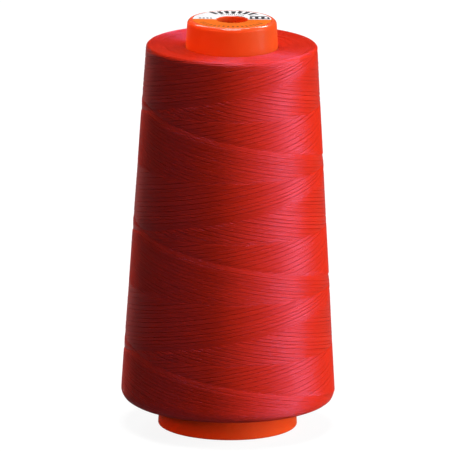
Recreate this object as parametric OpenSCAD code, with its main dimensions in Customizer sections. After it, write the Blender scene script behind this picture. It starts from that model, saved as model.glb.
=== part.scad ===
// Large cone of sewing thread: a one-piece moulded conical tube, a paper ring label on its nose,
// and a cross-wound package of thread that tapers with the tube.
// The cone stands on its foot. The origin is the centre of the foot's lower face, and +Z is up.

/* [Conical tube] */
// Height of the tube from the foot's lower face to the nose
tube_h = 125; // [100:1:160]
// Outer diameter of the tube at the foot
foot_d = 42; // [40:0.5:48]
// Taper of the tube's wall from its axis, in degrees
tube_taper = 3.5; // [2.5:0.1:4]
// Thickness of the tube's wall
tube_wall = 1.6; // [1.2:0.1:2.2]
// Thickness of the plate across the nose
nose_plate = 2.4; // [1.6:0.1:3.2]
// Radius of the rounded shoulder between the wall and the nose
shoulder_r = 1.5; // [0.8:0.1:2.2]
// Radius of the foot's outer edge
foot_edge_r = 0.4; // [0.2:0.1:0.8]
// Radius inside the tube between the wall and the nose plate
nose_fillet = 1.2; // [0.5:0.1:2]

/* [Pin bore] */
// Diameter of the bore that the spool pin passes through
bore_d = 9.2; // [7:0.1:11]
// Length of the guide sleeve, from the nose down into the tube
sleeve_len = 18; // [10:1:30]
// Thickness of the guide sleeve's wall
sleeve_wall = 1.4; // [1:0.1:1.8]
// Lead-in chamfer at each end of the bore
lead_in = 0.2; // [0.1:0.05:0.5]
// Number of webs between the guide sleeve and the tube's wall
web_count = 4; // [3:1:6]
// Thickness of each web
web_t = 1.2; // [0.8:0.1:2]

/* [Nose label] */
// Thickness of the paper label, which lies flush in a shallow seat
label_t = 0.15; // [0.1:0.05:0.3]
// Clearance between the label's outer edge and the wall of its seat
label_fit = 0.05; // [0.05:0.05:0.3]
// Width of the flat rim between the label's seat and the rounded shoulder
label_rim = 0.1; // [0.1:0.05:1]
// Width of the bare ring between the bore's lead-in and the label's hole
label_hole_gap = 0.1; // [0.05:0.05:0.5]

/* [Thread package] */
// Length of tube left bare below the package's outer edge
foot_show = 7.8; // [5:0.1:12]
// Length of tube left bare above the package's outer edge
nose_show = 7.5; // [5:0.1:12]
// Diameter over the windings at the base of the package
pack_base_d = 65; // [58:0.5:74]
// Diameter over the windings at the top of the package
pack_top_d = 51.5; // [46:0.5:58]
// Radius of the package's lower outer edge
base_edge_r = 3.6; // [1:0.1:5]
// Radius of the package's upper outer edge
top_edge_r = 1.2; // [0.8:0.1:4]
// Clearance between the wound thread and what it lies on
seat_gap = 0.1; // [0.05:0.05:0.3]

/* [Outer windings] */
// Diameter of the sewing thread
thread_d = 0.35; // [0.25:0.05:0.6]
// Passes of the thread along the package, upwards and downwards in turn
passes = 8; // [4:2:8]
// Loops in a pass, before the short step that sets each pass beside the last
pass_loops = 3; // [2:1:3]
// Clear space between strands where they cross
strand_gap = 0.45; // [0.42:0.01:0.8]
// Stretch on each side of a reversal over which the thread curves back, in degrees round the package
turn_back = 30; // [15:15:45]
// Stretch on each side of a reversal over which the thread changes layer, in degrees
layer_climb = 45; // [30:15:45]
// Stretch by which the last pass stops short of its reversal, in degrees
tail_short = 30; // [15:15:45]

/* [Hidden] */

ring_count = 24;  // rings of the wound tube in one loop
ring_sides = 6;   // sides of the wound tube
arc_fn = 96;      // segments of a round edge's circle
round_fn = 120;   // segments round the axis
over = 1;         // overshoot of a cut past the face that it opens

taper_k = tan(tube_taper);
foot_r = foot_d / 2;
bore_r = bore_d / 2;
sleeve_r = bore_r + sleeve_wall;
sleeve_z = tube_h - sleeve_len;
wall_inset = tube_wall / cos(tube_taper);
cavity_top = tube_h - nose_plate;

// Outer radius of the tube at height z
function tube_r(z) = foot_r - z * taper_k;

// The nose's flat runs out to where the shoulder's arc begins
nose_flat_r = tube_r(tube_h) - shoulder_r * tan(45 - tube_taper / 2);
seat_r = nose_flat_r - label_rim;
label_r = seat_r - label_fit;
label_hole_r = bore_r + lead_in + label_hole_gap;
seat_z = tube_h - label_t;

pack_base_r = pack_base_d / 2;
pack_top_r = pack_top_d / 2;
pack_base_z = foot_show;
pack_top_z = tube_h - nose_show;
pack_k = (pack_base_r - pack_top_r) / (pack_top_z - pack_base_z);

// Radius over the windings at height z
function pack_r(z) = pack_base_r - (z - pack_base_z) * pack_k;

// Centre line radius of the downward passes, which lie over the upward ones
function over_r(z) = pack_r(z) - thread_d / 2;

// Centre line radius of the upward passes
function under_r(z) = over_r(z) - thread_d - strand_gap;

// A tube with flat stretches between its rings dips towards the axis by this share
dip = cos(180 / ring_count);

// Radius of the core's side at height z, clear of the upward passes
function core_r(z) = under_r(z) * dip - thread_d / 2 - seat_gap;

function unit(v) = v / norm(v);

// Half of the angle at corner p between its neighbours a and b
function half_angle(p, a, b) = acos(unit(a - p) * unit(b - p)) / 2;

// Centre of the arc of radius r that rounds corner p
function arc_centre(p, a, b, r) =
    p + unit(unit(a - p) + unit(b - p)) * r / sin(half_angle(p, a, b));

// Where that arc meets the side from p towards a
function arc_end(p, a, b, r) = p + unit(a - p) * r / tan(half_angle(p, a, b));

// Outline through pts whose outward corners are rounded by the matching radii
module rounded_outline(pts, radii) {
    n = len(pts);
    polygon([
        for (i = [0 : n - 1])
            let (p = pts[i], a = pts[(i + n - 1) % n], b = pts[(i + 1) % n], r = radii[i])
            each r == 0 ? [p] : [arc_end(p, a, b, r), arc_end(p, b, a, r)]
    ]);
    for (i = [0 : n - 1])
        if (radii[i] > 0)
            translate(arc_centre(pts[i], pts[(i + n - 1) % n], pts[(i + 1) % n], radii[i]))
                circle(r = radii[i], $fn = arc_fn);
}

// Half section of the tube as a solid cone
module tube_outline() {
    rounded_outline(
        [[0, 0], [foot_r, 0], [tube_r(tube_h), tube_h], [0, tube_h]],
        [0, foot_edge_r, shoulder_r, 0]
    );
}

// Half section of the hollow inside the tube
module cavity_outline() {
    rounded_outline(
        [
            [0, -over],
            [tube_r(-over) - wall_inset, -over],
            [tube_r(cavity_top) - wall_inset, cavity_top],
            [0, cavity_top]
        ],
        [0, 0, nose_fillet, 0]
    );
}

// Radial webs that tie the guide sleeve to the wall, ending inside the wall's thickness
module sleeve_webs() {
    mid_wall = wall_inset / 2;
    web_h = cavity_top - sleeve_z + nose_plate / 2;
    intersection() {
        translate([0, 0, sleeve_z])
            cylinder(
                h = web_h,
                r1 = tube_r(sleeve_z) - mid_wall,
                r2 = tube_r(sleeve_z + web_h) - mid_wall,
                $fn = round_fn
            );
        for (i = [0 : web_count - 1])
            rotate([0, 0, 360 * i / web_count])
                translate([bore_r + sleeve_wall / 2, -web_t / 2, sleeve_z])
                    cube([foot_r, web_t, web_h]);
    }
}

// The bore with its two lead-ins
module pin_bore() {
    translate([0, 0, sleeve_z - over])
        cylinder(h = sleeve_len + 2 * over, r = bore_r, $fn = round_fn);
    translate([0, 0, seat_z - lead_in])
        cylinder(h = lead_in, r1 = bore_r, r2 = bore_r + lead_in, $fn = round_fn);
    translate([0, 0, sleeve_z])
        cylinder(h = lead_in, r1 = bore_r + lead_in, r2 = bore_r, $fn = round_fn);
}

module cone_tube() {
    color("orangered")
        difference() {
            union() {
                rotate_extrude($fn = round_fn)
                    difference() {
                        tube_outline();
                        cavity_outline();
                    }
                translate([0, 0, sleeve_z])
                    cylinder(h = sleeve_len - nose_plate / 2, r = sleeve_r, $fn = round_fn);
                sleeve_webs();
            }
            pin_bore();
            translate([0, 0, seat_z])
                cylinder(h = label_t + over, r = seat_r, $fn = round_fn);
        }
}

module nose_label() {
    color("white")
        translate([0, 0, seat_z])
            difference() {
                cylinder(h = label_t, r = label_r, $fn = round_fn);
                translate([0, 0, -over])
                    cylinder(h = label_t + 2 * over, r = label_hole_r, $fn = round_fn);
            }
}

// A package's end face is square to the tube's wall. It passes through the outer edge at
// (edge_r, edge_z), and this is the radius where it meets a wall of radius r0 - k * z.
function face_meets(r0, k, edge_r, edge_z) =
    (r0 - k * (edge_z - taper_k * edge_r)) / (1 + k * taper_k);

// Point of that end face at radius r
function face_point(r, edge_r, edge_z) = [r, edge_z - (edge_r - r) * taper_k];

// The plain body of thread under the outer windings
module thread_core() {
    inner_r0 = foot_r + seat_gap;
    side_k = pack_k * dip;
    low_in = face_meets(inner_r0, taper_k, pack_base_r, pack_base_z);
    low_out = face_meets(core_r(0), side_k, pack_base_r, pack_base_z);
    top_out = face_meets(core_r(0), side_k, pack_top_r, pack_top_z);
    top_in = face_meets(inner_r0, taper_k, pack_top_r, pack_top_z);
    color("firebrick")
        rotate_extrude($fn = round_fn)
            rounded_outline(
                [
                    face_point(low_in, pack_base_r, pack_base_z),
                    face_point(low_out, pack_base_r, pack_base_z),
                    face_point(top_out, pack_top_r, pack_top_z),
                    face_point(top_in, pack_top_r, pack_top_z)
                ],
                [0, base_edge_r, top_edge_r, 0]
            );
}

// Each pass ends a share of a loop short, so the passes spread evenly round the package
pass_rings = round(ring_count * (pass_loops - 1 / passes));
turn_rings = turn_back * ring_count / 360;
climb_rings = layer_climb * ring_count / 360;
last_ring = passes * pass_rings - round(tail_short * ring_count / 360);
wind_low_z = pack_base_z + base_edge_r;
wind_high_z = pack_top_z - top_edge_r;

// Rings from ring i to the nearer end of its pass
function to_reversal(i) = min(i % pass_rings, pass_rings - i % pass_rings);

function goes_up(i) = floor(i / pass_rings) % 2 == 0;

// The same distance where the thread curves back instead of turning sharply
function eased(t) = t < turn_rings ? (t * t + turn_rings * turn_rings) / (2 * turn_rings) : t;

// Share of the way along its pass at ring i
function along(i) =
    let (t = eased(to_reversal(i)) / pass_rings)
    i % pass_rings <= pass_rings / 2 ? t : 1 - t;

function wind_z(i) =
    wind_low_z + (wind_high_z - wind_low_z) * (goes_up(i) ? along(i) : 1 - along(i));

// Share of the climb from the lower layer to the upper one at ring i
function layer(i) =
    let (s = max(0, 0.5 - to_reversal(i) / (2 * climb_rings)))
    goes_up(i) ? s : 1 - s;

function wind_r(i) =
    let (z = wind_z(i))
    under_r(z) + (over_r(z) - under_r(z)) * layer(i);

function around(i, r, z) = [r * cos(360 * i / ring_count), r * sin(360 * i / ring_count), z];

// A thread end stands square on the core, at least one thread diameter long
function thread_end(i) = around(i, core_r(wind_z(i)) + seat_gap, wind_z(i));

// Centre line of the one unbroken thread
centre_line = [
    thread_end(0),
    for (i = [0 : last_ring]) around(i, wind_r(i), wind_z(i)),
    thread_end(last_ring)
];

// Corners of the tube's ring i, square to the bisector of the two stretches that meet there
function tube_ring(path, i) =
    let (
        n = len(path),
        before = unit(i == 0 ? path[1] - path[0] : path[i] - path[i - 1]),
        after = unit(i == n - 1 ? path[i] - path[i - 1] : path[i + 1] - path[i]),
        ahead = unit(before + after),
        side = unit(cross([0, 0, 1], ahead)),
        rise = cross(ahead, side),
        mitre = 1 / (ahead * before)
    )
    [
        for (s = [0 : ring_sides - 1])
            let (a = 360 * s / ring_sides)
            path[i] + thread_d / 2 * (mitre * cos(a) * side + sin(a) * rise)
    ];

// Closed tube of triangles along a path
module thread_tube(path) {
    n = len(path);
    m = ring_sides;
    last = (n - 1) * m;
    polyhedron(
        points = [for (i = [0 : n - 1]) each tube_ring(path, i)],
        faces = [
            for (s = [1 : m - 2]) [0, s, s + 1],
            for (i = [0 : n - 2], s = [0 : m - 1])
                let (a = i * m + s, b = i * m + (s + 1) % m)
                each [[a, a + m, b + m], [a, b + m, b]],
            for (s = [1 : m - 2]) [last, last + s + 1, last + s]
        ],
        convexity = 10
    );
}

// Least gap of the thread to itself, on ring centres and the points midway between them.
// Strands come closest where they cross, which is whole loops apart along the thread.
function least_gap(path) =
    let (
        n = len(path),
        fine = [for (i = [1 : n - 3]) each [path[i], (path[i] + path[i + 1]) / 2]],
        loop = 2 * ring_count
    )
    min([
        for (i = [0 : len(fine) - 1], k = [1 : floor(len(fine) / loop)], d = [-2 : 2])
            if (i + k * loop + d < len(fine)) norm(fine[i + k * loop + d] - fine[i])
    ]) - thread_d;

module outer_windings() {
    echo(loops = (len(centre_line) - 3) / ring_count, least_gap_mm = least_gap(centre_line));
    color("crimson") thread_tube(centre_line);
}

cone_tube();
nose_label();
thread_core();
outer_windings();
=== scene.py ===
"""Looks of a large cone of sewing thread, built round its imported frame.

The cone is a moulded conical tube with a printed ring label on its nose and a cross-wound package
of thread. The outer layer is one thread, laid by a traverse that runs up and down while the cone
turns, so that each stroke lies beside the stroke before it and over everything older.
"""

import logging
import math
from dataclasses import dataclass, field
from enum import Enum
from typing import Any, Iterator, Sequence

import bmesh
import bpy
import numpy as np
from bpy.types import Material, Mesh, Object
from mathutils import Matrix, Vector


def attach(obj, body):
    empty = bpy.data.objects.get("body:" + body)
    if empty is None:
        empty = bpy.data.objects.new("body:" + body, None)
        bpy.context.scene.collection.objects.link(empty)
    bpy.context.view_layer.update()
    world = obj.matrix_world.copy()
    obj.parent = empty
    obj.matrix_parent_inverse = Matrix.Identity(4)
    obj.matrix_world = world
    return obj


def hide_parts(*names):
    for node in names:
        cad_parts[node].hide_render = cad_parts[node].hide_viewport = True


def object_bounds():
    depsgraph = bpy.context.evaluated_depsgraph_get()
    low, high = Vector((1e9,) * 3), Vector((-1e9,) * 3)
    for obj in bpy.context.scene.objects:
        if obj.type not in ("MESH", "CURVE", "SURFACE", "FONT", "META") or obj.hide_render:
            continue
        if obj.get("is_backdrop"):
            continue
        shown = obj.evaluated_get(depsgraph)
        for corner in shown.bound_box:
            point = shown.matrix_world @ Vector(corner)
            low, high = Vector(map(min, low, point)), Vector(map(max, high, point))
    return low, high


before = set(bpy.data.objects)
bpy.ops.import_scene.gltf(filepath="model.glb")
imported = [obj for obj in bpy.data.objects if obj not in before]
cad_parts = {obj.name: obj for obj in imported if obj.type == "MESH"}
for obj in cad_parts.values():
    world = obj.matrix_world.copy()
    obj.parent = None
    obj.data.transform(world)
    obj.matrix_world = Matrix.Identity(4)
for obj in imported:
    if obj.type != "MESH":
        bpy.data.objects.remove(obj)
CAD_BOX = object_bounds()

LOG = logging.getLogger("thread_cone")
BODY = "root"
BAKE_MAP = "OFBake"
MM = 0.001
SIDES = 6  # sides that Blender gives a strand at bevel resolution 1
TOUCHING = 1e-7  # points and heights within this distance are the same
Point = tuple[float, float]
Range = tuple[float, float]
Colour = tuple[float, float, float]
WHITE: Colour = (1.0, 1.0, 1.0)


# ---- shader nodes


class Signal:
    """A shader socket that takes part in Python arithmetic."""

    def __init__(self, tree: "Shader", socket: bpy.types.NodeSocket | None) -> None:
        """Wraps an output socket of a node in the given tree."""
        self.tree = tree
        self.socket = socket

    def maths(self, operation: str, *values: Any) -> "Signal":
        """The result of a Math node of that operation on numbers or signals, in order."""
        return self.tree.node("ShaderNodeMath", {"operation": operation}, dict(enumerate(values)))

    def __add__(self, other: Any) -> "Signal":
        """self + other"""
        return self.maths("ADD", self, other)

    __radd__ = __add__

    def __sub__(self, other: Any) -> "Signal":
        """self - other"""
        return self.maths("SUBTRACT", self, other)

    def __rsub__(self, other: Any) -> "Signal":
        """other - self"""
        return self.maths("SUBTRACT", other, self)

    def __mul__(self, other: Any) -> "Signal":
        """self * other"""
        return self.maths("MULTIPLY", self, other)

    __rmul__ = __mul__

    def __truediv__(self, other: Any) -> "Signal":
        """self / other"""
        return self.maths("DIVIDE", self, other)

    def __rtruediv__(self, other: Any) -> "Signal":
        """other / self"""
        return self.maths("DIVIDE", other, self)

    def above(self, limit: Any) -> "Signal":
        """1 where this is above the limit, otherwise 0."""
        return self.maths("GREATER_THAN", self, limit)

    def below(self, limit: Any) -> "Signal":
        """1 where this is below the limit, otherwise 0."""
        return self.maths("LESS_THAN", self, limit)

    def within(self, low: Any, high: Any) -> "Signal":
        """1 where this lies between low and high, otherwise 0."""
        return self.above(low) * self.below(high)

    def or_more(self, other: Any) -> "Signal":
        """The larger of this and the other."""
        return self.maths("MAXIMUM", self, other)

    def fraction(self) -> "Signal":
        """The part after the decimal point."""
        return self.maths("FRACT", self)

    def power(self, exponent: float) -> "Signal":
        """This raised to a power."""
        return self.maths("POWER", self, exponent)

    def wave(self) -> "Signal":
        """The sine of this, in radians."""
        return self.maths("SINE", self)

    def ramp(self, low: float, high: float) -> "Signal":
        """Rises smoothly from 0 at low to 1 at high."""
        return self.tree.node(
            "ShaderNodeMapRange",
            {"interpolation_type": "SMOOTHSTEP", "clamp": True},
            {"Value": self, "From Min": low, "From Max": high},
        )


class Shader:
    """The node tree of a material or of the world."""

    def __init__(self, name: str, owner: bpy.types.ID | None = None) -> None:
        """Empties the owner's tree.

        Args:
            name: The name of the new material, which is the owner where none is given.
            owner: What the tree belongs to.
        """
        self.owner = owner or bpy.data.materials.new(name)
        self.owner.use_nodes = True
        self.tree = self.owner.node_tree
        self.tree.nodes.clear()

    def node(self, kind: str, settings: dict[str, Any], inputs: dict[Any, Any]) -> Signal:
        """Adds a node.

        Args:
            kind: The node's type.
            settings: Its properties, which are set first.
            inputs: Values or signals by socket name or number.

        Returns:
            The node's first output that is in use.
        """
        made = self.tree.nodes.new(kind)
        for name, value in settings.items():
            setattr(made, name, value)
        usable = [s for s in made.inputs if s.enabled]
        for key, value in inputs.items():
            by_number = isinstance(key, int)
            socket = usable[key] if by_number else next(s for s in usable if s.name == key)
            if isinstance(value, Signal):
                self.tree.links.new(value.socket, socket)
            elif socket.type == "RGBA":
                socket.default_value = (*value[:3], 1.0)
            else:
                socket.default_value = value
        outputs = [s for s in made.outputs if s.enabled]
        return Signal(self, outputs[0] if outputs else None)

    def output(self, node_signal: Signal, name: str) -> Signal:
        """Another output of the node that a signal comes from."""
        return Signal(self, node_signal.socket.node.outputs[name])

    def mix(self, factor: Any, first: Any, second: Any) -> Signal:
        """Mixes two colours, where the factor is the share of the second."""
        return self._mixed("MIX", factor, first, second)

    def tint(self, factor: Any, first: Any, second: Any) -> Signal:
        """Multiplies the first colour by the second, in that share."""
        return self._mixed("MULTIPLY", factor, first, second)

    def _mixed(self, blend: str, factor: Any, first: Any, second: Any) -> Signal:
        """One Mix node on colours."""
        settings = {"data_type": "RGBA", "blend_type": blend}
        return self.node("ShaderNodeMix", settings, {"A": first, "B": second, "Factor": factor})

    def place(self, scale: Sequence[float] = (1.0, 1.0, 1.0)) -> Signal:
        """The point on the piece, in metres, stretched by a scale on each axis."""
        point = self.output(self.node("ShaderNodeTexCoord", {}, {}), "Object")
        return self.node("ShaderNodeMapping", {}, {"Vector": point, "Scale": tuple(scale)})

    def axes(self, point: Signal) -> tuple[Signal, Signal, Signal]:
        """The x, y and z of a point."""
        split = self.node("ShaderNodeSeparateXYZ", {}, {"Vector": point})
        return split, self.output(split, "Y"), self.output(split, "Z")

    def noise(self, point: Signal, scale: float, detail: float = 2.0, rough: float = 0.5) -> Signal:
        """Noise from 0 to 1.

        Args:
            point: Where it is read.
            scale: Cells to the metre.
            detail: Finer octaves.
            rough: Their strength.

        Returns:
            The noise's value.
        """
        return self.node(
            "ShaderNodeTexNoise",
            {"noise_dimensions": "3D"},
            {"Vector": point, "Scale": scale, "Detail": detail, "Roughness": rough},
        )

    def bump(self, height: Signal, distance: float, strength: float = 1.0) -> Signal:
        """A normal that follows a height from 0 to 1 over that distance in metres."""
        return self.node(
            "ShaderNodeBump", {}, {"Height": height, "Distance": distance, "Strength": strength}
        )

    def surface(self, **inputs: Any) -> Material:
        """Ends the tree in a Principled shader, whose sockets are named with _ for a space."""
        ready = {name.replace("_", " "): value for name, value in inputs.items()}
        return self.end(self.node("ShaderNodeBsdfPrincipled", {}, ready))

    def end(self, shader: Signal) -> Material:
        """Ends the tree in any shader and returns the material."""
        self.node("ShaderNodeOutputMaterial", {}, {"Surface": shader})
        return self.owner


def from_axis(x: Signal, y: Signal) -> Signal:
    """Distance from the cone's axis."""
    return (x * x + y * y).power(0.5)


def dimmed(colour: Colour, share: float) -> Colour:
    """A share of a colour."""
    return tuple(c * share for c in colour)


# ---- finishes


@dataclass(frozen=True)
class MouldedPlastic:
    """Satin moulded polypropylene, polished at its shoulder, with flow marks and scuffs."""

    shoulder_z: float
    colour: Colour = (0.59, 0.066, 0.010)
    flow_colour: Colour = (0.55, 0.056, 0.009)
    roughness: float = 0.40
    scuffed: float = 0.50
    flow_cells: float = 160.0
    scuff_cells: float = 420.0
    grain_cells: float = 2600.0
    relief: float = 0.00006
    polish_start: float = 0.5 * MM
    polish_end: float = 1.1 * MM
    satin_coat: float = 0.02
    polish_coat: float = 0.78

    def material(self) -> Material:
        """Builds the material.

        Returns:
            The material.
        """
        s = Shader("moulded_plastic")
        point = s.place()
        flow = s.noise(s.place((1.0, 1.0, 0.25)), self.flow_cells, 3.0, 0.6)
        scuffs = s.noise(s.place((1.0, 1.0, 7.0)), self.scuff_cells, 5.0, 0.7).ramp(0.56, 0.78)
        grain = s.noise(point, self.grain_cells, 2.0, 0.5)
        polish = s.axes(point)[2].ramp(
            self.shoulder_z + self.polish_start, self.shoulder_z + self.polish_end
        )
        return s.surface(
            Base_Color=s.mix(flow, self.flow_colour, self.colour),
            Roughness=self.roughness + (self.scuffed - self.roughness) * scuffs + 0.04 * grain,
            Normal=s.bump(grain * 0.6 + flow, self.relief, 0.5),
            IOR=1.49,
            Specular_IOR_Level=0.05,
            Coat_Roughness=0.08,
            Coat_Weight=self.satin_coat + self.polish_coat * polish,
            Subsurface_Weight=0.3,
            Subsurface_Scale=0.003,
            Subsurface_Radius=(1.0, 0.3, 0.1),
        )


@dataclass(frozen=True)
class SpunPolyester:
    """Sewing thread whose tone differs a little from stroke to stroke and along each stroke."""

    bright: Colour = (0.76, 0.027, 0.002)
    deep: Colour = (0.58, 0.018, 0.001)
    gloss: Colour = (1.0, 0.40, 0.95)
    patch_cells: float = 70.0
    fibre_cells: float = 1500.0
    fuzz_cells: float = 3600.0
    fuzz_height: float = 0.00012
    packed_patch_cells: float = 90.0
    packed_pitch: float = 0.3 * MM
    packed_relief: float = 0.0001

    def material(self, name: str, shade: float = 1.0, sheen: float = 0.5) -> Material:
        """Builds the material.

        Args:
            name: The material's name.
            shade: Strength of the colour; below 1 it gives a dimmer copy of the thread, as painted
                shade.
            sheen: Strength of the gloss, 0.5 for thread that lies straight.

        Returns:
            The material.
        """
        s = Shader(name)
        tone = s.output(s.node("ShaderNodeAttribute", {"attribute_name": "tone"}, {}), "Fac")
        patches = s.noise(s.place(), self.patch_cells, 3.0, 0.6)
        fibres = s.noise(s.place((1.0, 1.0, 6.0)), self.fibre_cells, 2.0, 0.6)
        fuzz = s.noise(s.place(), self.fuzz_cells, 2.0, 0.7)
        blend = tone * 0.5 + patches * 0.25 + fibres * 0.25
        return s.surface(
            # Below 1, shade dims the colour as painted shade.
            Base_Color=s.mix(blend, dimmed(self.deep, shade), dimmed(self.bright, shade)),
            Roughness=0.25 + 0.10 * fibres,
            Normal=s.bump(fuzz, self.fuzz_height, 0.5),
            IOR=1.5,
            Specular_IOR_Level=sheen,
            Specular_Tint=self.gloss,
        )

    def packed_material(self) -> Material:
        """Builds the material of the layers below, seen between the outer strands, with painted
        shade in its colour.

        Returns:
            The material.
        """
        s = Shader("packed_thread_painted_shade")
        x, y, z = s.axes(s.place())
        across = from_axis(x, y) * 3.0 + z
        lines = (across * (2 * math.pi / self.packed_pitch)).wave() * 0.5 + 0.5
        patches = s.noise(s.place(), self.packed_patch_cells, 3.0, 0.6)
        blend = lines * 0.6 + patches * 0.4
        return s.surface(
            # Both ends of this colour are dimmed copies of the thread: painted shade of the layers
            # under the outer strands, darker still in the stripes' troughs between the strands
            # below.
            Base_Color=s.mix(blend, dimmed(self.deep, 0.28), dimmed(self.bright, 0.6)),
            Roughness=0.7 + 0.1 * patches,
            Normal=s.bump(lines, self.packed_relief, 0.8),
            Specular_Tint=self.gloss,
        )


@dataclass(frozen=True)
class PrintBand:
    """An arc of short radial marks.

    It runs from start to end, in turns round the label. A whole turn would hold count marks, and
    each mark takes up the share duty of its place.
    """

    inner_r: float
    outer_r: float
    start: float
    end: float
    count: int
    duty: float

    def mask(self, turn: Signal, across: Signal) -> Signal:
        """Finds the marks.

        Args:
            turn: Angle round the label, in turns.
            across: Distance from the label's centre.

        Returns:
            1 on the marks, otherwise 0.
        """
        lane = across.within(self.inner_r, self.outer_r)
        stretch = turn.within(self.start, self.end)
        return (turn * self.count).fraction().below(self.duty) * lane * stretch


@dataclass(frozen=True)
class PrintBox:
    """A printed rectangle, by its sides in x and in y."""

    left: float
    right: float
    near: float
    far: float

    def mask(self, x: Signal, y: Signal) -> Signal:
        """1 inside the rectangle, otherwise 0."""
        return x.within(self.left, self.right) * y.within(self.near, self.far)


@dataclass(frozen=True)
class PrintedPaper:
    """Coated paper, white on the far half and orange on the near half, with generic marks."""

    white: Colour = (0.82, 0.80, 0.81)
    orange: Colour = (0.79, 0.15, 0.010)
    ink: Colour = (0.025, 0.018, 0.022)
    paper_shade: Colour = (0.82, 0.82, 0.82)
    tall_marks: PrintBand = PrintBand(7.7 * MM, 11.1 * MM, 0.115, 0.36, 30, 0.62)
    low_marks: PrintBand = PrintBand(6.0 * MM, 6.9 * MM, 0.15, 0.34, 70, 0.5)
    near_marks: PrintBand = PrintBand(9.2 * MM, 10.7 * MM, -0.43, -0.07, 44, 0.4)
    uneven_top: float = 0.5 * MM
    uneven_waves: tuple[float, float] = (150.0, 93.0)
    dash_row: PrintBox = PrintBox(-10.2 * MM, -6.0 * MM, 0.5 * MM, 2.0 * MM)
    dash_pitch: float = 1.1 * MM
    dash_duty: float = 0.6
    block: PrintBox = PrintBox(5.3 * MM, 11.4 * MM, 0.5 * MM, 4.4 * MM)
    block_r: float = 11.4 * MM
    slot_start: float = 6.05 * MM
    slot_pitch: float = 1.85 * MM
    slot_duty: float = 0.45
    slot_reach: Range = (1.4 * MM, 3.5 * MM)
    fibre_cells: float = 5200.0
    fibre_height: float = 0.00002
    wear_cells: float = 900.0

    def _inked(self, x: Signal, y: Signal) -> Signal:
        """Finds the printing.

        Args:
            x: Place across the label.
            y: Place along the label.

        Returns:
            How strongly each point is inked, up to 1.
        """
        across = from_axis(x, y)
        turn = x.maths("ARCTAN2", y, x) / (2 * math.pi)
        first_wave, second_wave = self.uneven_waves
        uneven = (turn * first_wave).wave() * 0.5 + (turn * second_wave).wave() * 0.5
        tall = self.tall_marks.mask(turn, across - uneven * self.uneven_top)
        low = self.low_marks.mask(turn, across)
        near_marks = self.near_marks.mask(turn, across)
        dash = (x / self.dash_pitch).fraction().below(self.dash_duty)
        dashes = self.dash_row.mask(x, y) * dash
        block = self.block.mask(x, y) * across.below(self.block_r)
        slot = ((x - self.slot_start) / self.slot_pitch).fraction().below(self.slot_duty)
        slots = slot * y.within(*self.slot_reach)
        inked = tall.or_more(low)
        for mark in (near_marks * 0.75, dashes * 0.8, block * (1.0 - slots)):
            inked = inked.or_more(mark)
        return inked

    def material(self) -> Material:
        """Builds the material.

        Returns:
            The material.
        """
        s = Shader("printed_paper")
        x, y, _ = s.axes(s.place())
        fibre = s.noise(s.place(), self.fibre_cells, 3.0, 0.6)
        wear = s.noise(s.place(), self.wear_cells, 4.0, 0.7)
        paper = s.mix(y.below(0.0), self.white, self.orange)
        printed = s.mix(self._inked(x, y) * (0.94 + 0.06 * wear), paper, self.ink)
        return s.surface(
            Base_Color=s.tint(0.25, printed, s.mix(fibre, self.paper_shade, WHITE)),
            Roughness=0.38 + 0.12 * fibre,
            Normal=s.bump(fibre, self.fibre_height, 0.6),
            IOR=1.45,
            Specular_IOR_Level=0.3,
        )


# ---- outlines and meshes


def rounded(points: Sequence[Point], radii: Sequence[float], steps: int = 8) -> list[Point]:
    """Rounds the corners of an outline.

    Args:
        points: Corners as (radius, height), in order round the outline.
        radii: The rounding at each corner, 0 for a sharp one.
        steps: Stretches in each arc.

    Returns:
        The rounded outline.
    """
    out: list[Point] = []
    for i, (corner, radius) in enumerate(zip(points, radii)):
        here = Vector(corner)
        if radius == 0:
            out.append(corner)
            continue
        back = (Vector(points[i - 1]) - here).normalized()
        ahead = (Vector(points[(i + 1) % len(points)]) - here).normalized()
        half = back.angle(ahead) / 2
        centre = here + (back + ahead).normalized() * (radius / math.sin(half))
        first = here + back * (radius / math.tan(half)) - centre
        last = here + ahead * (radius / math.tan(half)) - centre
        sweep = first.angle_signed(last)
        for k in range(steps + 1):
            spoke = Matrix.Rotation(-sweep * k / steps, 2) @ first
            out.append(tuple(centre + spoke))
    return out


def placed(made: Object) -> Object:
    """Puts a new object in the scene."""
    bpy.context.scene.collection.objects.link(made)
    return made


def finish_object(name: str, mesh: Mesh, material: Material) -> Object:
    """Puts a mesh in the scene as a piece that rides on the cone's body.

    Args:
        name: The piece's name.
        mesh: Its mesh, in place.
        material: Its finish.

    Returns:
        The piece.
    """
    mesh.materials.clear()
    mesh.materials.append(material)
    made = placed(bpy.data.objects.new(name, mesh))
    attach(made, BODY)
    return made


def smooth(mesh: Mesh, limit_deg: float = 35.0) -> None:
    """Shades a mesh smoothly, with creases where its faces turn by more than the limit."""
    mesh.polygons.foreach_set("use_smooth", [True] * len(mesh.polygons))
    mesh.set_sharp_from_angle(angle=math.radians(limit_deg))


def closed_mesh(bm: bmesh.types.BMesh, name: str) -> Mesh:
    """Turns a shape's faces outwards and makes it a smooth mesh.

    Args:
        bm: The shape, which is used up.
        name: The mesh's name.

    Returns:
        The mesh.
    """
    bmesh.ops.recalc_face_normals(bm, faces=bm.faces)
    mesh = bpy.data.meshes.new(name)
    bm.to_mesh(mesh)
    bm.free()
    smooth(mesh)
    return mesh


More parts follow.
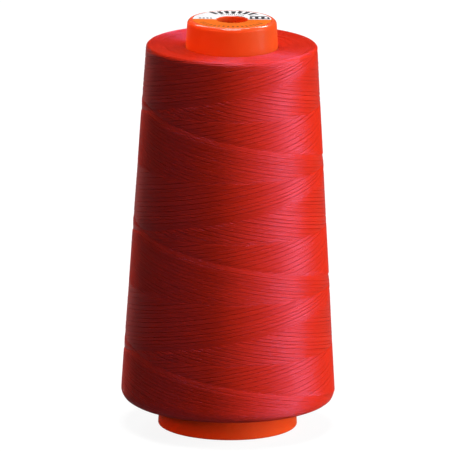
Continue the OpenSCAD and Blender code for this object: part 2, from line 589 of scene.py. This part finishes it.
def turned(name: str, outline: Sequence[Point], steps: int) -> Mesh:
    """Turns a closed outline round the cone's axis.

    Args:
        name: The mesh's name.
        outline: Points as (radius, height).
        steps: Stretches in the full turn.

    Returns:
        A closed mesh whose faces point outwards.
    """
    bm = bmesh.new()
    verts = [bm.verts.new((r, 0.0, z)) for r, z in outline]
    edges = [bm.edges.new((a, b)) for a, b in zip(verts, verts[1:] + verts[:1])]
    bmesh.ops.spin(
        bm,
        geom=verts + edges,
        cent=(0.0, 0.0, 0.0),
        axis=(0.0, 0.0, 1.0),
        angle=2 * math.pi,
        steps=steps,
        use_merge=True,
    )
    bmesh.ops.remove_doubles(bm, verts=bm.verts, dist=TOUCHING)
    return closed_mesh(bm, name)


@dataclass
class Strand:
    """A stretch of thread: the points it follows and its tone at each of them."""

    points: np.ndarray
    tone: np.ndarray


@dataclass
class StrandMesh:
    """Round thread along one or more strands.

    A closed strand is a loop. The bake's map has the thread in rows of row stretches each.
    """

    name: str
    strands: Sequence[Strand]
    radius: float
    closed: bool
    row: int
    lane_margin: float = 0.04
    cap_patch: float = 0.002

    def build(self) -> Mesh:
        """Makes the thread.

        Returns:
            A closed mesh with a tone attribute and the bake's map.
        """
        curve = bpy.data.curves.new(self.name, "CURVE")
        curve.dimensions = "3D"
        curve.twist_mode = "Z_UP"
        curve.bevel_depth = self.radius
        curve.bevel_resolution = 1
        curve.use_fill_caps = not self.closed
        for strand in self.strands:
            spline = curve.splines.new("POLY")
            count = len(strand.points)
            weighted = np.column_stack([strand.points, np.ones(count)])
            spline.points.add(count - 1)
            spline.points.foreach_set("co", weighted.ravel())
            spline.use_cyclic_u = self.closed
        holder = placed(bpy.data.objects.new(self.name + "_line", curve))
        graph = bpy.context.evaluated_depsgraph_get()
        mesh = bpy.data.meshes.new_from_object(holder.evaluated_get(graph), depsgraph=graph)
        bpy.data.objects.remove(holder)
        bpy.data.curves.remove(curve)
        self._write_tone(mesh)
        self._write_bake_map(mesh)
        if not self.closed:
            self._weld_caps(mesh)
        mesh.name = self.name
        return mesh

    def _write_tone(self, mesh: Mesh) -> None:
        """Writes the tone of each ring. The caps' points, if any, come first in the mesh.

        Args:
            mesh: The thread's mesh.
        """
        caps = [] if self.closed else [np.repeat(s.tone[[0, -1]], SIDES) for s in self.strands]
        rings = [np.repeat(s.tone, SIDES) for s in self.strands]
        values = np.concatenate([*caps, *rings]).astype(np.float32)
        mesh.attributes.new("tone", "FLOAT", "POINT").data.foreach_set("value", values)

    def _write_bake_map(self, mesh: Mesh) -> None:
        """Lays the thread out in rows, and its caps in one corner.

        Args:
            mesh: The thread's mesh.
        """
        stretches = [len(s.points) - (0 if self.closed else 1) for s in self.strands]
        index = np.concatenate([np.arange(n) for n in stretches])
        rows_of = [math.ceil(n / self.row) for n in stretches]
        start = np.concatenate([[0], np.cumsum(rows_of)])
        lanes = [start[i] + np.arange(n) // self.row for i, n in enumerate(stretches)]

        built_in = mesh.uv_layers[0]
        uv = np.zeros(len(mesh.loops) * 2, np.float32)
        built_in.data.foreach_get("uv", uv)
        uv = uv.reshape(-1, 2)
        quads = len(index) * SIDES
        head = len(mesh.loops) - 4 * quads
        body = uv[head:].reshape(quads, 4, 2)
        corner = np.array([0, 1, 1, 0])
        segment, lane = np.repeat(index, SIDES), np.repeat(np.concatenate(lanes), SIDES)
        along = (segment[:, None] % self.row + corner[None, :]) / self.row
        inside = self.lane_margin + (1 - 2 * self.lane_margin) * body[:, :, 1]
        around = (lane[:, None] + inside) / int(start[-1])
        body[:, :, 0], body[:, :, 1] = along, around
        uv[:head] = uv[:head] * self.cap_patch + self.cap_patch / 2
        built_in.data.foreach_set("uv", uv.ravel())
        built_in.name = BAKE_MAP

    def _weld_caps(self, mesh: Mesh) -> None:
        """Joins each strand's two end caps to its tube.

        Args:
            mesh: The thread's mesh.
        """
        bm = bmesh.new()
        bm.from_mesh(mesh)
        ends = [v for v in bm.verts if v.is_boundary]
        bmesh.ops.remove_doubles(bm, verts=ends, dist=TOUCHING)
        bm.to_mesh(mesh)
        bm.free()


# ---- the cone's sub-assemblies


@dataclass
class ConeTube:
    """The moulded tube: wall, nose plate, guide sleeve and webs."""

    height: float = 125 * MM
    foot_r: float = 21 * MM
    taper_deg: float = 3.5
    wall: float = 1.6 * MM
    plate: float = 2.4 * MM
    shoulder_r: float = 1.5 * MM
    foot_edge_r: float = 0.4 * MM
    foot_inner_r: float = 0.3 * MM
    plate_fillet: float = 1.2 * MM
    bore_r: float = 4.6 * MM
    sleeve_wall: float = 1.4 * MM
    sleeve_len: float = 18 * MM
    sleeve_edge_r: float = 0.3 * MM
    sleeve_root_r: float = 0.6 * MM
    lead_in: float = 0.2 * MM
    web_t: float = 1.2 * MM
    web_edge: float = 0.2 * MM
    webs: int = 4
    seat_depth: float = 0.15 * MM
    seat_rim: float = 0.1 * MM
    seat_edge_r: float = 0.03 * MM
    round_steps: int = 192

    def __post_init__(self) -> None:
        """Works out the sizes that follow from the others."""
        self.slope = math.tan(math.radians(self.taper_deg))
        self.inset = self.wall / math.cos(math.radians(self.taper_deg))
        half = math.radians(45 - self.taper_deg / 2)
        flat_r = self.outer_r(self.height) - self.shoulder_r * math.tan(half)
        self.seat_r = flat_r - self.seat_rim
        self.sleeve_z = self.height - self.sleeve_len

    def outer_r(self, z: float) -> float:
        """Outer radius of the tube at height z."""
        return self.foot_r - z * self.slope

    def outline(self) -> list[Point]:
        """Draws the section of wall, plate and sleeve.

        Returns:
            One closed outline.
        """
        top, roof = self.height, self.height - self.plate
        seat_z, sleeve_r = top - self.seat_depth, self.bore_r + self.sleeve_wall
        corners = [
            ((self.foot_r, 0.0), self.foot_edge_r),
            ((self.outer_r(top), top), self.shoulder_r),
            ((self.seat_r, top), self.seat_edge_r),
            ((self.seat_r, seat_z), 0.0),
            ((self.bore_r + self.lead_in, seat_z), 0.0),
            ((self.bore_r, seat_z - self.lead_in), 0.0),
            ((self.bore_r, self.sleeve_z + self.lead_in), 0.0),
            ((self.bore_r + self.lead_in, self.sleeve_z), 0.0),
            ((sleeve_r, self.sleeve_z), self.sleeve_edge_r),
            ((sleeve_r, roof), self.sleeve_root_r),
            ((self.outer_r(roof) - self.inset, roof), self.plate_fillet),
            ((self.foot_r - self.inset, 0.0), self.foot_inner_r),
        ]
        return rounded([c for c, _ in corners], [r for _, r in corners])

    def web_mesh(self) -> Mesh:
        """Models the radial webs between sleeve and wall, with softened lower edges.

        Returns:
            The webs as one mesh.
        """
        bm = bmesh.new()
        inner = self.bore_r + self.sleeve_wall / 2
        roof = self.height - self.plate / 2
        for i in range(self.webs):
            made = bmesh.ops.create_cube(bm, size=1.0)["verts"]
            for v in made:
                z = self.sleeve_z if v.co.z < 0 else roof
                out = self.outer_r(z) - self.inset / 2
                v.co = (inner if v.co.x < 0 else out, v.co.y * self.web_t, z)
            turn = Matrix.Rotation(2 * math.pi * i / self.webs, 3, "Z")
            bmesh.ops.rotate(bm, verts=made, cent=(0, 0, 0), matrix=turn)
        level = self.sleeve_z + TOUCHING
        bmesh.ops.bevel(
            bm,
            geom=[e for e in bm.edges if all(v.co.z < level for v in e.verts)],
            offset=self.web_edge,
            segments=2,
            profile=0.5,
            affect="EDGES",
            material=-1,
        )
        return closed_mesh(bm, "sleeve_webs")

    def build(self) -> list[Object]:
        """Builds the tube and its webs in place of the frame's tube.

        Returns:
            The pieces.
        """
        material = MouldedPlastic(self.height - self.shoulder_r).material()
        tube_mesh = turned("moulded_tube", self.outline(), self.round_steps)
        tube = finish_object("moulded_tube", tube_mesh, material)
        webs = finish_object("sleeve_webs", self.web_mesh(), material)
        for piece in (tube, webs):
            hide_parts("cone_tube")
        return [tube, webs]


@dataclass
class NoseLabel:
    """The printed paper ring that lies in the nose's shallow seat."""

    tube: ConeTube
    fit: float = 0.05 * MM
    hole_gap: float = 0.1 * MM
    edge_r: float = 0.04 * MM
    edge_steps: int = 3
    round_steps: int = 160

    def build(self) -> list[Object]:
        """Builds the label in place of the frame's label.

        Returns:
            The label alone.
        """
        hole_r = self.tube.bore_r + self.tube.lead_in + self.hole_gap
        outer_r = self.tube.seat_r - self.fit
        low, top = self.tube.height - self.tube.seat_depth, self.tube.height
        corners = [(hole_r, low), (outer_r, low), (outer_r, top), (hole_r, top)]
        outline = rounded(corners, [0.0, 0.0, self.edge_r, self.edge_r], self.edge_steps)
        mesh = turned("ring_label", outline, self.round_steps)
        label = finish_object("ring_label", mesh, PrintedPaper().material())
        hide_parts("nose_label")
        return [label]


@dataclass
class PackageForm:
    """The outside of the wound package, followed from its lower end face to its upper one.

    line holds the outline's points, out its outward normals, and way the distance along it.
    """

    tube: ConeTube
    base_r: float = 32.5 * MM
    top_r: float = 25.75 * MM
    base_z: float = 7.8 * MM
    top_z: float = 117.5 * MM
    base_edge: float = 3.6 * MM
    top_edge: float = 1.2 * MM
    tube_gap: float = 0.1 * MM
    core_gap: float = 0.05 * MM
    edge_steps: int = 24

    def __post_init__(self) -> None:
        """Works out the outline, its outward normals and the way along it."""
        lean = self.tube.slope
        low_r = self.tube.outer_r(self.base_z) + self.tube_gap
        high_r = self.tube.outer_r(self.top_z) + self.tube_gap
        corners = [
            (low_r, self.base_z - (self.base_r - low_r) * lean),
            (self.base_r, self.base_z),
            (self.top_r, self.top_z),
            (high_r, self.top_z - (self.top_r - high_r) * lean),
        ]
        radii = [0.0, self.base_edge, self.top_edge, 0.0]
        self.line = np.array(rounded(corners, radii, self.edge_steps))
        step = np.diff(self.line, axis=0)
        length = np.hypot(step[:, 0], step[:, 1])
        self.way = np.concatenate([[0.0], np.cumsum(length)])
        out = np.stack([step[:, 1], -step[:, 0]], 1) / length[:, None]
        self.out = np.concatenate([out[:1], (out[1:] + out[:-1]) / 2, out[-1:]])
        self.side_start = self.edge_steps + 1
        self.side_end = self.side_start + 1

    def at(self, way: np.ndarray, lift: np.ndarray) -> tuple[np.ndarray, np.ndarray]:
        """Radii and heights at points that lie a way along the outline and a lift outside it."""
        columns = [np.interp(way, self.way, c) for c in (*self.line.T, *self.out.T)]
        return columns[0] + columns[2] * lift, columns[1] + columns[3] * lift

    def way_at(self, z: np.ndarray) -> np.ndarray:
        """Distance along the outline that belongs to a height on the package's side.

        Args:
            z: Heights, which may lie a little beyond the side.

        Returns:
            The distances.
        """
        low, high = self.line[self.side_start], self.line[self.side_end]
        ratio = float(np.hypot(*(high - low)) / (high[1] - low[1]))
        return self.way[self.side_start] + (z - low[1]) * ratio

    def shrunk(self, depth: float) -> list[Point]:
        """Draws the outline in and closes it along the tube.

        Args:
            depth: How far it is drawn in.

        Returns:
            The smaller outline.
        """
        r, z = self.at(self.way, np.full(len(self.way), -depth))
        inner = self.tube.outer_r(0.0) + self.core_gap
        points = [(inner - z[0] * self.tube.slope, z[0]), *zip(r[1:-1], z[1:-1])]
        return [*points, (inner - z[-1] * self.tube.slope, z[-1])]


class Lay(Enum):
    """Which way a stroke of the traverse runs."""

    RISING = 1
    FALLING = -1


@dataclass
class Windings:
    """The outer layer: one thread, laid by strokes that run up and down the package.

    strokes counts the strokes each way, loops the turns in a stroke up and down, and rings the
    points in a turn. A size in _rings is a number of points along the thread.
    """

    form: PackageForm
    finish: SpunPolyester
    strokes: int = 120
    loops: int = 6
    rings: int = 90
    thread_r: float = 0.168 * MM
    low_turn: float = 7.2 * MM
    high_turn: float = 118.1 * MM
    turn_rings: int = 7
    front: float = 0.12
    bunch: tuple[int, int] = (3, 6)
    squeeze: Range = (0.05, 0.19)
    stray: float = 0.03
    ragged_mm: float = 0.9
    ragged_reach: float = 1.6
    sink: float = 0.27 * MM
    swell: float = 0.12 * MM
    crossing_rings: float = 2.4
    waver: float = 0.008 * MM
    tuck: float = 0.22 * MM
    tucked: int = 14
    tone_least: float = 0.1
    tone_spread: float = 0.8
    tone_drift: tuple[tuple[float, float, float], ...] = ((0.12, 0.021, 0.0), (0.1, 0.0057, 1.3))
    pieces: int = 6
    seed: int = 41

    def __post_init__(self) -> None:
        """Works out the traverse: its rings in all and in a stroke, its pitch and its start."""
        self.total = self.strokes * self.loops * self.rings + self.rings
        self.half = self.total / (2 * self.strokes)
        self.pitch = (self.high_turn - self.low_turn) * self.rings / self.half
        self.start = self.low_turn / self.pitch - self.front

    def _offsets(self, rng: np.random.Generator) -> np.ndarray:
        """Small shifts of the strokes, which draws them together in bunches with gaps between.

        Args:
            rng: Source of the variation.

        Returns:
            A shift for each stroke, as a share of the strokes' spacing.
        """
        shift = np.zeros(self.strokes)
        i = 0
        while i < self.strokes:
            size = int(rng.integers(*self.bunch))
            run = np.arange(min(size, self.strokes - i))
            squeeze = rng.uniform(*self.squeeze)
            shift[i : i + len(run)] = -(run - (len(run) - 1) / 2) * squeeze
            i += len(run)
        return shift + rng.normal(0.0, self.stray, self.strokes)

    def _age_of(self, lay: Lay, turns: np.ndarray, z: np.ndarray) -> np.ndarray:
        """When the stroke of one lay that covers each point was laid.

        Args:
            lay: Which strokes are asked about.
            turns: The points' angles round the cone, in turns.
            z: The points' heights.

        Returns:
            The ages, from 0 for the first stroke to 1 for the last.
        """
        if lay is Lay.RISING:
            return np.mod(self.low_turn / self.pitch - self.start - z / self.pitch + turns, 1.0)
        late = self.high_turn / self.pitch + self.start + 0.5 / self.strokes
        return np.mod(z / self.pitch + turns - late, 1.0)

    def thread(self) -> Strand:
        """Follows the thread from its first stroke to its last.

        Returns:
            The whole thread.
        """
        rng = np.random.default_rng(self.seed)
        both = 2 * self.strokes
        ring = np.arange(self.total + 1)
        turns = self.start + ring / self.rings

        # A stroke is straight, and turns back softly within turn_rings of its ends.
        stroke = np.minimum(ring / self.half, both - 1e-9)
        number = stroke.astype(int)
        into = (stroke - number) * self.half
        near = np.minimum(into, self.half - into)
        bend = (near**2 + self.turn_rings**2) / (2 * self.turn_rings)
        eased = np.where(near < self.turn_rings, bend, near)
        rise = np.where(into < self.half / 2, eased, self.half - eased) / self.half
        rising = number % 2 == 0
        z = self.low_turn + (self.high_turn - self.low_turn) * np.where(rising, rise, 1 - rise)

        # Strokes stand in bunches, pass over into each other's shift, and end a little raggedly.
        shifts = np.empty(both)
        shifts[0::2], shifts[1::2] = -self._offsets(rng), self._offsets(rng)
        shifts = np.concatenate([shifts, shifts[-1:]]) * self.pitch / self.strokes
        ragged = rng.uniform(-self.ragged_mm, self.ragged_mm, both + 1) * MM
        leaving = into > self.half / 2
        neighbour = np.where(leaving, number + 1, np.maximum(number - 1, 0))
        mixing = 0.5 * np.clip(1 - near / self.turn_rings, 0, 1)
        shift = shifts[number] * (1 - mixing) + shifts[neighbour] * mixing
        end = np.where(leaving, number + 1, number)
        raggedness = np.clip(1 - near / (self.ragged_reach * self.turn_rings), 0, 1) ** 2
        z = z + shift + ragged[end] * raggedness

        # Where two strokes cross, the newer one lies on top. The layer swells as it grows, and
        # its last strokes are drawn in again, so that it closes without a step.
        age = stroke / both
        falling_age = self._age_of(Lay.FALLING, turns, z)
        other = np.where(rising, falling_age, self._age_of(Lay.RISING, turns, z))
        on_top = np.clip((age - other) * self.rings / self.crossing_rings + 0.5, 0, 1)
        newest = np.maximum(age, other)
        lift = -self.thread_r - self.sink * (1 - on_top) - self.swell * (1 - newest)
        lift = lift + rng.normal(0.0, self.waver, len(ring))
        lift = lift - self.tuck * np.clip((stroke - both) / self.tucked + 1, 0, 1)

        r, height = self.form.at(self.form.way_at(z), lift)
        angle = 2 * math.pi * turns
        points = np.stack([r * np.cos(angle), r * np.sin(angle), height], 1)
        tones = rng.uniform(0.0, 1.0, both + 1)
        drift = sum(size * np.sin(ring * rate + phase) for size, rate, phase in self.tone_drift)
        tone = tones[number] * self.tone_spread + self.tone_least + drift
        return Strand(points, np.clip(tone, 0, 1))

    def build(self) -> list[Object]:
        """Builds the layer in stretches of whole strokes, in place of the frame's windings.

        Returns:
            The pieces, from the first stroke to the last.
        """
        whole = self.thread()
        material = self.finish.material("spun_polyester")
        cuts = np.linspace(0, 2 * self.strokes, self.pieces + 1).round() * self.half
        cuts = cuts.astype(int)
        made = []
        for i, (a, b) in enumerate(zip(cuts, cuts[1:]), 1):
            part = Strand(whole.points[a : b + 1], whole.tone[a : b + 1])
            name = f"outer_windings_{i}"
            strand = StrandMesh(name, [part], self.thread_r, False, math.ceil(self.half))
            piece = finish_object(name, strand.build(), material)
            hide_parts("outer_windings")
            made.append(piece)
        return made


@dataclass
class EndTurns:
    """The loops that show on the package's two end faces, where inner layers turn back.

    They start foot_gap from the tube at the foot, end nose_gap from it at the nose, and run
    past_edge on under the outer layer. A size in _mm is the range of a random one.
    """

    form: PackageForm
    finish: SpunPolyester
    thread_r: float = 0.165 * MM
    spacing: float = 0.19 * MM
    rings: int = 84
    foot_gap: float = 0.35 * MM
    nose_gap: float = 0.08 * MM
    past_edge: float = 1.2 * MM
    least_way: float = 0.1 * MM
    sunk: float = 0.3 * MM
    wander_mm: Range = (0.02, 0.12)
    ripple_mm: Range = (0.0, 0.05)
    weave_mm: Range = (0.01, 0.05)
    tone_range: Range = (0.5, 0.9)
    tone_wave: float = 0.1
    # shade makes the end faces' thread a dimmer copy of the same thread: painted shade against the
    # light on the upper end face.
    shade: float = 0.8
    sheen: float = 0.38
    seed: int = 97

    def _loops(self, start: float, end: float, rng: np.random.Generator) -> Iterator[Strand]:
        """Follows slightly eccentric loops, side by side.

        Args:
            start: Where they start along the package's outline.
            end: Where they end.
            rng: Source of the variation.

        Yields:
            One loop after another.
        """
        turn = np.arange(self.rings) * 2 * math.pi / self.rings

        def swing(waves: int) -> np.ndarray:
            """That many waves round the loop, starting anywhere."""
            return np.cos(waves * turn - rng.uniform(0, 2 * math.pi))

        for way in np.arange(start, end, self.spacing):
            wander = rng.uniform(*self.wander_mm) * MM * swing(1)
            wander += rng.uniform(*self.ripple_mm) * MM * swing(3)
            weave = rng.uniform(*self.weave_mm) * MM * swing(2)
            place = np.clip(way + wander, self.least_way, self.form.way[-1])
            r, z = self.form.at(place, weave - self.sunk)
            tone = rng.uniform(*self.tone_range) + self.tone_wave * swing(1)
            points = np.stack([r * np.cos(turn), r * np.sin(turn), z], 1)
            yield Strand(points, np.clip(tone, 0, 1))

    def build(self) -> list[Object]:
        """Builds the loops of both end faces, in place of the frame's core.

        Returns:
            The loops at the foot and those at the nose.
        """
        rng = np.random.default_rng(self.seed)
        material = self.finish.material("end_turn_thread_painted_shade", self.shade, self.sheen)
        way = self.form.way
        foot = (self.foot_gap, way[self.form.side_start] + self.past_edge)
        nose = (way[self.form.side_end] - self.past_edge, way[-1] - self.nose_gap)
        made = []
        for name, (start, end) in (("end_turns_foot", foot), ("end_turns_nose", nose)):
            loops = list(self._loops(start, end, rng))
            strand = StrandMesh(name, loops, self.thread_r, True, self.rings)
            piece = finish_object(name, strand.build(), material)
            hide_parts("thread_core")
            made.append(piece)
        return made


@dataclass
class PackedLayers:
    """The solid mass of inner layers that shows between the outer strands, coloured darker as
    painted shade.
    """

    form: PackageForm
    finish: SpunPolyester
    depth: float = 0.55 * MM
    round_steps: int = 144

    def build(self) -> list[Object]:
        """Builds the mass in place of the frame's core.

        Returns:
            The mass alone.
        """
        mesh = turned("packed_layers", self.form.shrunk(self.depth), self.round_steps)
        piece = finish_object("packed_layers", mesh, self.finish.packed_material())
        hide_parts("thread_core")
        return [piece]


# ---- studio


@dataclass(frozen=True)
class Softbox:
    """A lamp: where it stands as seen from the cone, its size, strength, colour and reach.

    A lamp with lights_only lights just those pieces, and one without glints shows in no gloss.
    """

    name: str
    azimuth: float
    elevation: float
    distance: float
    width: float
    height: float
    watts: float
    colour: Colour = WHITE
    lights_only: tuple[str, ...] = ()
    glints: bool = True

    def build(self, target: Vector) -> None:
        """Stands the lamp up, and limits it to its pieces if it names any.

        Args:
            target: What it faces.
        """
        lamp = bpy.data.lights.new(self.name, "AREA")
        lamp.shape = "RECTANGLE"
        lamp.size, lamp.size_y = self.width, self.height
        lamp.energy = self.watts
        lamp.color = self.colour
        holder = placed(bpy.data.objects.new(self.name, lamp))
        a, e = math.radians(self.azimuth), math.radians(self.elevation)
        back = Vector((math.cos(a) * math.cos(e), math.sin(a) * math.cos(e), math.sin(e)))
        holder.location = target + back * self.distance
        holder.rotation_euler = back.to_track_quat("Z", "Y").to_euler()
        holder.visible_camera = False
        holder.visible_glossy = self.glints
        if self.lights_only:
            lit = bpy.data.collections.new(self.name + "_lights")
            for piece in self.lights_only:
                lit.objects.link(bpy.data.objects[piece])
            holder.light_linking.receiver_collection = lit


TUBE_ONLY = ("moulded_tube",)
NOSE_FACE_ONLY = ("end_turns_nose",)


@dataclass
class Studio:
    """Pale floor, plain background, soft lamps and the camera.

    mirrored is how strongly gloss shows the background. At 1 the background lays a grey veil over
    the thread's dark side, and the cone has no metal or glass that would need it.
    """

    target: Vector = field(default_factory=lambda: Vector((0.0, 0.0, 62.5 * MM)))
    distance: float = 3.29984
    elevation: float = 13.9087
    roll: float = -0.6478
    lens: float = 873.7
    sensor: float = 36.0
    shift: tuple[float, float] = (-0.00831, -0.00925)
    clip: Range = (0.05, 40.0)
    mirrored: float = 0.05
    floor_half: float = 4.0
    floor_colour: Colour = (0.13, 0.13, 0.13)
    floor_grain: float = 1.03
    floor_cells: float = 40.0
    floor_glow: float = 0.9
    # A lamp's numbers are azimuth, elevation, distance, width, height and watts.
    lamps: tuple[Softbox, ...] = (
        Softbox("key", -20.0, 20.0, 1.1, 0.9, 0.9, 8.6),
        Softbox("key_edge", -8.0, 12.0, 1.1, 0.2, 0.9, 10.2),
        Softbox("front_fill", -60.0, 20.0, 1.1, 1.0, 0.9, 1.4),
        Softbox("overhead", 180.0, 89.0, 1.0, 0.4, 0.4, 7.8),
        Softbox("fill", -150.0, 20.0, 1.1, 0.8, 0.8, 0.45),
        Softbox("rim_glow", 118.0, 20.0, 1.1, 0.2, 0.9, 10.0, glints=False),
        Softbox("rim_glint", 90.0, 48.0, 1.1, 1.4, 0.12, 7.0, WHITE, TUBE_ONLY),
        Softbox("side_glint", 46.0, 44.0, 1.1, 0.25, 0.2, 2.5, WHITE, TUBE_ONLY),
        Softbox("face_sheen", 46.0, 47.0, 1.1, 0.3, 0.3, 4.4, (1.0, 0.6, 1.0), NOSE_FACE_ONLY),
        Softbox("tube_glow", -140.0, 30.0, 1.0, 0.4, 0.6, 10.0, (1.0, 0.28, 0.1), TUBE_ONLY),
        Softbox("foot_glow", -50.0, -25.0, 0.14, 0.06, 0.01, 0.075, (1.0, 0.4, 0.3), TUBE_ONLY),
    )

    def camera(self) -> None:
        """Sets up the camera in front of the cone."""
        e, roll = math.radians(self.elevation), math.radians(self.roll)
        back = Vector((0.0, -math.cos(e), math.sin(e)))
        level_right, level_up = Vector((1.0, 0.0, 0.0)), Vector((0.0, math.sin(e), math.cos(e)))
        right = math.cos(roll) * level_right - math.sin(roll) * level_up
        up = math.sin(roll) * level_right + math.cos(roll) * level_up
        data = bpy.data.cameras.new("camera")
        data.sensor_width = self.sensor
        data.lens = self.lens
        data.shift_x, data.shift_y = self.shift
        data.clip_start, data.clip_end = self.clip
        holder = placed(bpy.data.objects.new("camera", data))
        facing = Matrix((right, up, back)).transposed().to_4x4()
        holder.matrix_world = Matrix.Translation(self.target + back * self.distance) @ facing
        bpy.context.scene.camera = holder

    def _seen(self, s: Shader) -> Signal:
        """How brightly the background shows: 1 to the camera and through glass, less in gloss.

        Args:
            s: The background's tree.

        Returns:
            The level.
        """
        camera_ray = s.node("ShaderNodeLightPath", {}, {})
        glossy = s.output(camera_ray, "Is Glossy Ray") * self.mirrored
        return camera_ray + glossy + s.output(camera_ray, "Is Transmission Ray")

    def floor(self) -> None:
        """Lays the floor, which the camera sees almost white and which keeps the shadow."""
        bm = bmesh.new()
        bmesh.ops.create_grid(bm, x_segments=4, y_segments=4, size=self.floor_half)
        mesh = bpy.data.meshes.new("floor")
        bm.to_mesh(mesh)
        bm.free()
        made = placed(bpy.data.objects.new("floor", mesh))
        s = Shader("floor_paper")
        grain = s.noise(s.place(), self.floor_cells)
        tone = s.mix(grain, self.floor_colour, dimmed(self.floor_colour, self.floor_grain))
        paper = s.node("ShaderNodeBsdfDiffuse", {}, {"Color": tone})
        level = self._seen(s) * self.floor_glow
        glow = s.node("ShaderNodeEmission", {}, {"Color": WHITE, "Strength": level})
        mesh.materials.append(s.end(s.node("ShaderNodeAddShader", {}, {0: paper, 1: glow})))
        made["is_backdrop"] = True

    def world(self) -> None:
        """Gives a plain white background that lights nothing."""
        s = Shader("studio", bpy.data.worlds.new("studio"))
        white = {"Color": WHITE, "Strength": self._seen(s)}
        s.node("ShaderNodeOutputWorld", {}, {"Surface": s.node("ShaderNodeBackground", {}, white)})
        bpy.context.scene.world = s.owner

    def build(self) -> None:
        """Builds the studio, which then only lacks its lamps."""
        self.world()
        self.floor()
        self.camera()
        bpy.context.scene.view_settings.view_transform = "Standard"

    def light(self) -> None:
        """Stands up the lamps, once the pieces that they may name are there."""
        for lamp in self.lamps:
            lamp.build(self.target)


def write_sizes() -> None:
    """Works out the frame's box and the dressed cone's box."""
    boxes = {"cad": CAD_BOX, "visual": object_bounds()}
    {k: [list(corner) for corner in v] for k, v in boxes.items()}


def main() -> None:
    """Builds the studio, then the cone from its tube outwards, and reports each piece."""
    logging.basicConfig(level=logging.INFO, format="%(name)s %(message)s")
    studio = Studio()
    studio.build()
    tube = ConeTube()
    thread = SpunPolyester()
    form = PackageForm(tube)
    for assembly in (
        tube,
        NoseLabel(tube),
        PackedLayers(form, thread),
        EndTurns(form, thread),
        Windings(form, thread),
    ):
        for piece in assembly.build():
            LOG.info("%s: %d faces", piece.name, len(piece.data.polygons))
    studio.light()
    write_sizes()


if __name__ == "__main__":
    main()
